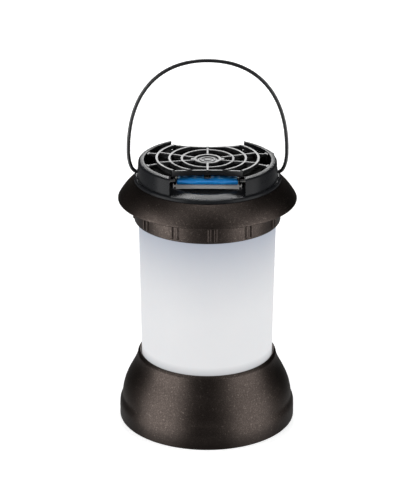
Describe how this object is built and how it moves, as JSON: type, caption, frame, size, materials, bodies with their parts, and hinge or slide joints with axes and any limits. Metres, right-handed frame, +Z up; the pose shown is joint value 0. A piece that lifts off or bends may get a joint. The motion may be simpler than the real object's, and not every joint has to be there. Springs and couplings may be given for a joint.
{
  "type": "insect repeller lantern",
  "caption": "Battery lantern with frosted tube, bronze bell base and flared shade, topped by a lift-out fuel-heated mat repeller under an open grille, with a wire bail.",
  "frame": {"origin": "centre of the footprint, on the surface the feet stand on", "axes": "+Z up along the lantern's axis, -Y towards the front, where the mat goes in, +X to the right seen from the front"},
  "size_m": [0.146, 0.146, 0.3099],
  "materials": {
    "bronze_paint": "dark bronze paint with fine metallic flakes, satin",
    "black_plastic": "moulded black plastic, satin",
    "grille_plastic": "moulded charcoal plastic, satin",
    "rubber": "matt black rubber",
    "silicone": "translucent grey silicone",
    "steel": "bright plated steel",
    "dark_steel": "blackened sheet steel",
    "heater_metal": "pressed metal, lightly heat-tinted",
    "cell_jacket": "printed-free green jacket with bare metal ends",
    "wire_insulation": "red flexible insulation",
    "circuit_board": "green solder mask",
    "led_package": "yellow phosphor",
    "white_plastic": "white moulded plastic",
    "frosted_diffuser": "frosted translucent white plastic",
    "ceramic": "unglazed ceramic",
    "cast_aluminium": "cast aluminium, as cast",
    "brass": "machined brass",
    "black_wire": "gloss black coated spring wire",
    "mat_blue": "blue impregnated paper board",
    "can_metal": "drawn aluminium, satin"
  },
  "bodies": {
    "lantern": {"base_shell": "bronze_paint", "base_plate": "black_plastic", "foot_1": "rubber", "foot_2": "rubber", "foot_3": "rubber", "foot_4": "rubber", "base_screws": "steel", "battery_tray": "black_plastic", "aa_cell_1": "cell_jacket", "aa_cell_2": "cell_jacket", "aa_cell_3": "cell_jacket", "aa_cell_4": "cell_jacket", "contact_springs": "steel", "contact_plates": "steel", "wiring": "wire_insulation", "lamp_board": "circuit_board", "leds": "led_package", "lamp_reflector": "white_plastic", "switch_board": "circuit_board", "tact_switch": "black_plastic", "lower_gasket": "silicone", "diffuser": "frosted_diffuser", "upper_gasket": "silicone", "collar": "bronze_paint", "shade": "bronze_paint", "socket_ring": "black_plastic", "socket_screws": "steel", "cartridge_well": "white_plastic"},
    "repeller": {"repeller_housing": "black_plastic", "bayonet_skirt": "black_plastic", "grille": "grille_plastic", "heat_guard": "dark_steel", "heater_plate": "heater_metal", "insulators": "ceramic", "heater_screws": "steel", "mat_clip": "steel", "burner_block": "cast_aluminium", "mixer_tube": "brass", "jet_nozzle": "brass", "regulator": "cast_aluminium", "cartridge_seal": "rubber", "chassis_plate": "black_plastic", "chassis_screws": "steel", "piezo_igniter": "black_plastic", "electrode": "ceramic", "igniter_lead": "wire_insulation"},
    "handle": {"bail": "black_wire"},
    "repellent_mat": {"mat": "mat_blue"},
    "ignition": {"start_button": "black_plastic"},
    "power": {"power_slider": "black_plastic"},
    "cartridge": {"cartridge_can": "can_metal", "cartridge_valve": "white_plastic"},
    "lamp_switch": {"lamp_button": "black_plastic"},
    "battery_cover": {"battery_door": "black_plastic"}
  },
  "joints": [
    {"name": "repeller_lift", "type": "slide", "parent": "lantern", "child": "repeller", "axis": [0, 0, 1], "range_m": [0, 0.13]},
    {"name": "bail_swing", "type": "hinge", "parent": "repeller", "child": "handle", "pos_m": [0, 0, 0.215], "axis": [1, 0, 0], "range_deg": [-105, 105]},
    {"name": "mat_slide", "type": "slide", "parent": "repeller", "child": "repellent_mat", "axis": [0, -1, 0], "range_m": [-0.06, 0.045]},
    {"name": "start_push", "type": "slide", "parent": "repeller", "child": "ignition", "axis": [0.766, -0.6428, 0], "range_m": [0, 0.0018], "stiffness_N_per_m": 1000, "springref_m": -0.001},
    {"name": "power_turn", "type": "hinge", "parent": "repeller", "child": "power", "pos_m": [0, 0, 0.2185], "axis": [0, 0, 1], "range_deg": [0, 8]},
    {"name": "cartridge_drop", "type": "slide", "parent": "repeller", "child": "cartridge", "axis": [0, 0, -1], "range_m": [0, 0.012]},
    {"name": "lamp_press", "type": "slide", "parent": "lantern", "child": "lamp_switch", "axis": [0, -1, 0], "range_m": [0, 0.0015], "stiffness_N_per_m": 800, "springref_m": -0.0008},
    {"name": "battery_door_hinge", "type": "hinge", "parent": "lantern", "child": "battery_cover", "pos_m": [0, 0.0315, 0.0021], "axis": [1, 0, 0], "range_deg": [0, 95]}
  ]
}
